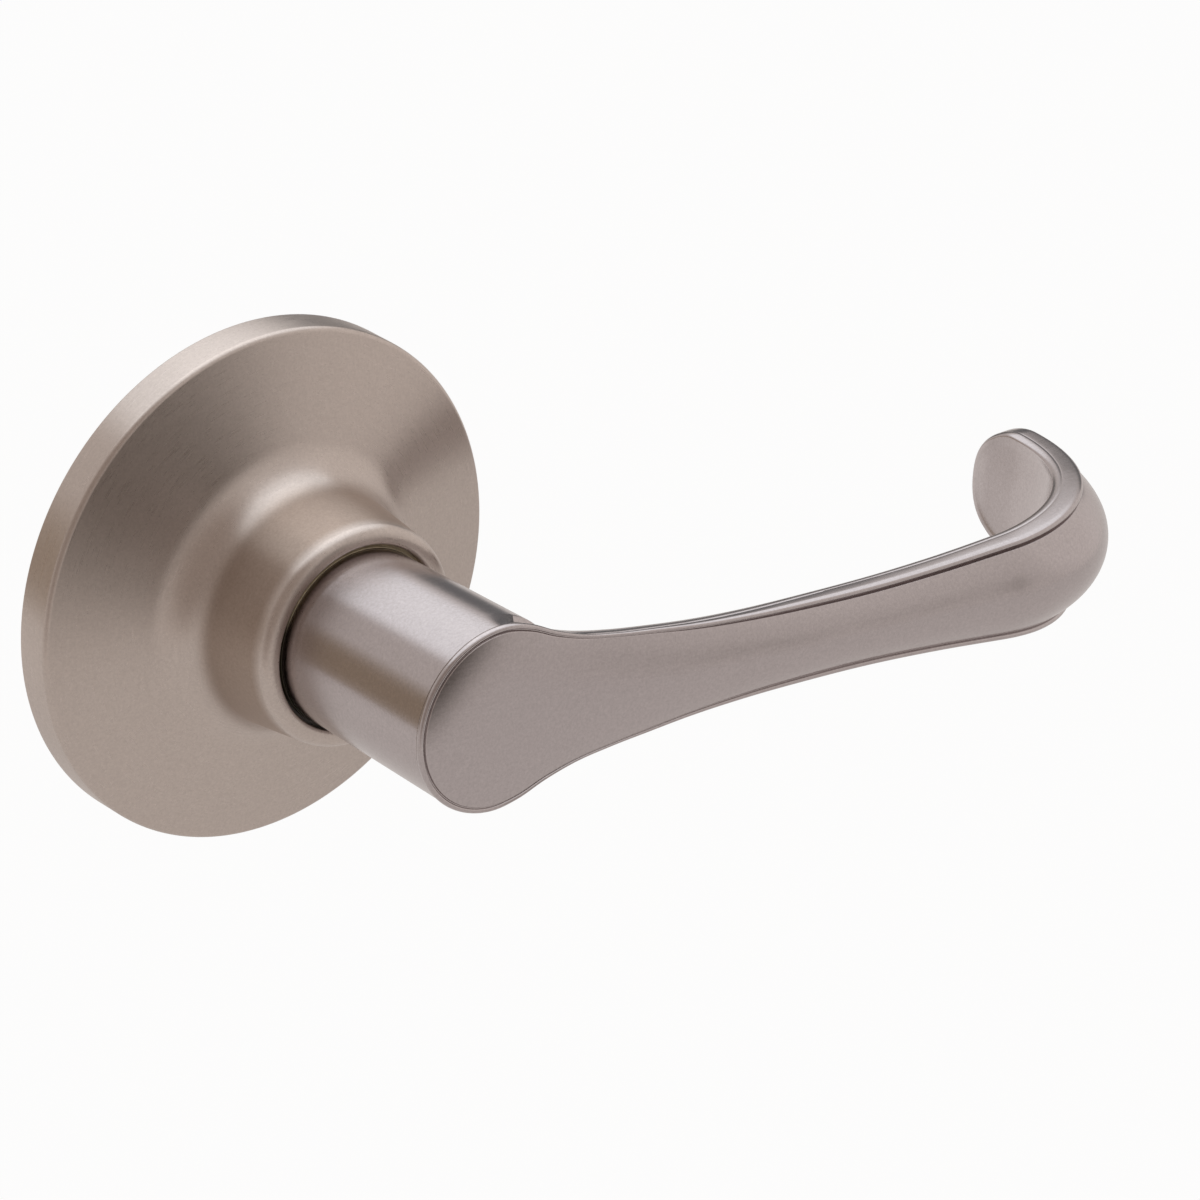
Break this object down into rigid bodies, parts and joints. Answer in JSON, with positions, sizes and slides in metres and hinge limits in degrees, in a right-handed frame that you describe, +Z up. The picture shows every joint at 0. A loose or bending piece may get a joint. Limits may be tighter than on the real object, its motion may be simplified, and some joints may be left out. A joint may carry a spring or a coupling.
{
  "type": "door lever handle",
  "caption": "Sprung door lever trim: a round rose with a raised neck carries a curled lever that turns a square spindle against a return spring.",
  "frame": {"origin": "on the lever's turning axis, in the plane of the door face", "axes": "+Y along the turning axis into the door, +X along the lever, +Z up"},
  "size_m": [0.1483, 0.0839, 0.068],
  "materials": {
    "satin_nickel": "satin nickel plate, finely brushed, over cast zinc and pressed brass",
    "zinc_plated_steel": "bright zinc plate, slightly mottled",
    "rivet_steel": "plain steel",
    "pin_steel": "ground steel",
    "sintered_steel": "sintered, matt, oiled",
    "spring_steel": "oil-tempered, dark",
    "bronze": "oil-filled bronze",
    "black_oxide_steel": "black oxide",
    "ivory_acetal": "moulded acetal",
    "black_nylon": "moulded nylon, fine grain"
  },
  "bodies": {
    "trim": {"rose_shell": "satin_nickel", "rose_liner": "black_nylon", "mounting_plate": "zinc_plated_steel", "through_posts": "zinc_plated_steel", "spring_housing": "zinc_plated_steel", "housing_rivets": "rivet_steel", "hub_bush": "bronze", "thrust_washer": "ivory_acetal", "spring_anchor_peg": "pin_steel", "stop_pegs": "pin_steel", "neck_bush": "ivory_acetal", "return_spring": "spring_steel"},
    "handle": {"lever": "satin_nickel", "drive_hub": "sintered_steel", "spring_drive_peg": "pin_steel", "retaining_ring": "spring_steel", "spindle": "zinc_plated_steel", "spindle_pin": "pin_steel", "front_washer": "ivory_acetal", "set_screw": "black_oxide_steel"}
  },
  "joints": [
    {"name": "lever_turn", "type": "hinge", "parent": "trim", "child": "handle", "pos_m": [0, 0, 0], "axis": [0, 1, 0], "range_deg": [-45, 45], "stiffness_Nm_per_rad": 1.9, "springref_deg": -1.46, "deforming": ["return_spring"]}
  ]
}
